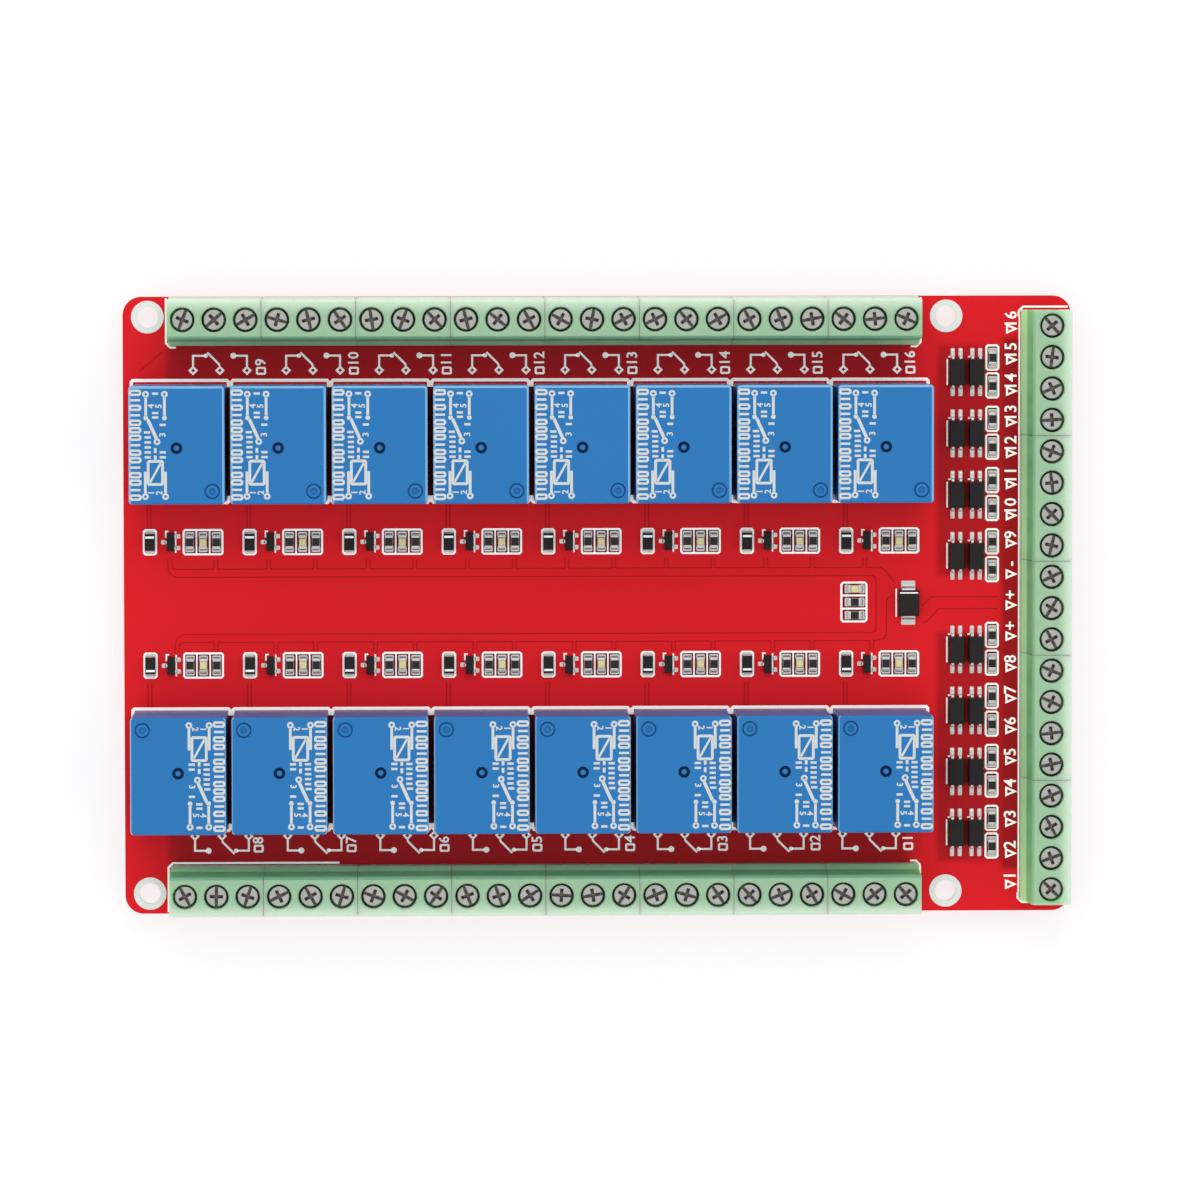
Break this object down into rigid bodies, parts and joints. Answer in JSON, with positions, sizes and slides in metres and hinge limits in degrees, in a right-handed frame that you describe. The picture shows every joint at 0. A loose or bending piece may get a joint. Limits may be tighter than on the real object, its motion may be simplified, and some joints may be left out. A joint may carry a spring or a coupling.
{
  "type": "relay module board",
  "caption": "Long circuit board with a row of box relays along each long side, screw terminals on three edges and small chip parts between them.",
  "frame": {"origin": "centre of the four mounting holes, on the underside of the board", "axes": "+X along the board towards the input terminals, +Y towards one row of output terminals, +Z away from the component side of the board"},
  "size_m": [0.1544, 0.1006, 0.0195],
  "materials": {
    "board_red": "satin red solder mask",
    "relay_blue": "smooth moulded plastic",
    "relay_base": "moulded plastic",
    "terminal_green": "moulded nylon",
    "screw_steel": "zinc-plated steel",
    "clamp_steel": "zinc-plated steel",
    "tinned_leads": "tinned",
    "black_moulding": "moulded epoxy",
    "chip_resistor": "glazed ceramic with tinned ends",
    "led_lens": "clear resin"
  },
  "bodies": {
    "root": {"base_resistors": "chip_resistor", "bottom_relay_pins": "tinned_leads", "bottom_terminal_1": "terminal_green", "bottom_terminal_2": "terminal_green", "bottom_terminal_3": "terminal_green", "bottom_terminal_4": "terminal_green", "bottom_terminal_5": "terminal_green", "bottom_terminal_6": "terminal_green", "bottom_terminal_7": "terminal_green", "bottom_terminal_8": "terminal_green", "bottom_terminal_pins": "tinned_leads", "bottom_terminal_screws": "screw_steel", "channel_leds": "led_lens", "circuit_board": "board_red", "flyback_diodes": "black_moulding", "input_resistors": "chip_resistor", "input_terminal_1": "terminal_green", "input_terminal_2": "terminal_green", "input_terminal_3": "terminal_green", "input_terminal_4": "terminal_green", "input_terminal_5": "terminal_green", "input_terminal_pins": "tinned_leads", "input_terminal_screws": "screw_steel", "led_resistors": "chip_resistor", "optocoupler_bodies": "black_moulding", "optocoupler_leads": "tinned_leads", "power_diode": "black_moulding", "power_led": "led_lens", "power_resistors": "chip_resistor", "relay_01": "relay_blue", "relay_02": "relay_blue", "relay_03": "relay_blue", "relay_04": "relay_blue", "relay_05": "relay_blue", "relay_06": "relay_blue", "relay_07": "relay_blue", "relay_08": "relay_blue", "relay_09": "relay_blue", "relay_10": "relay_blue", "relay_11": "relay_blue", "relay_12": "relay_blue", "relay_13": "relay_blue", "relay_14": "relay_blue", "relay_15": "relay_blue", "relay_16": "relay_blue", "relay_bases": "relay_base", "terminal_clamps": "clamp_steel", "top_relay_pins": "tinned_leads", "top_terminal_1": "terminal_green", "top_terminal_2": "terminal_green", "top_terminal_3": "terminal_green", "top_terminal_4": "terminal_green", "top_terminal_5": "terminal_green", "top_terminal_6": "terminal_green", "top_terminal_7": "terminal_green", "top_terminal_8": "terminal_green", "top_terminal_pins": "tinned_leads", "top_terminal_screws": "screw_steel", "transistor_bodies": "black_moulding", "transistor_leads": "tinned_leads"}
  },
  "joints": []
}
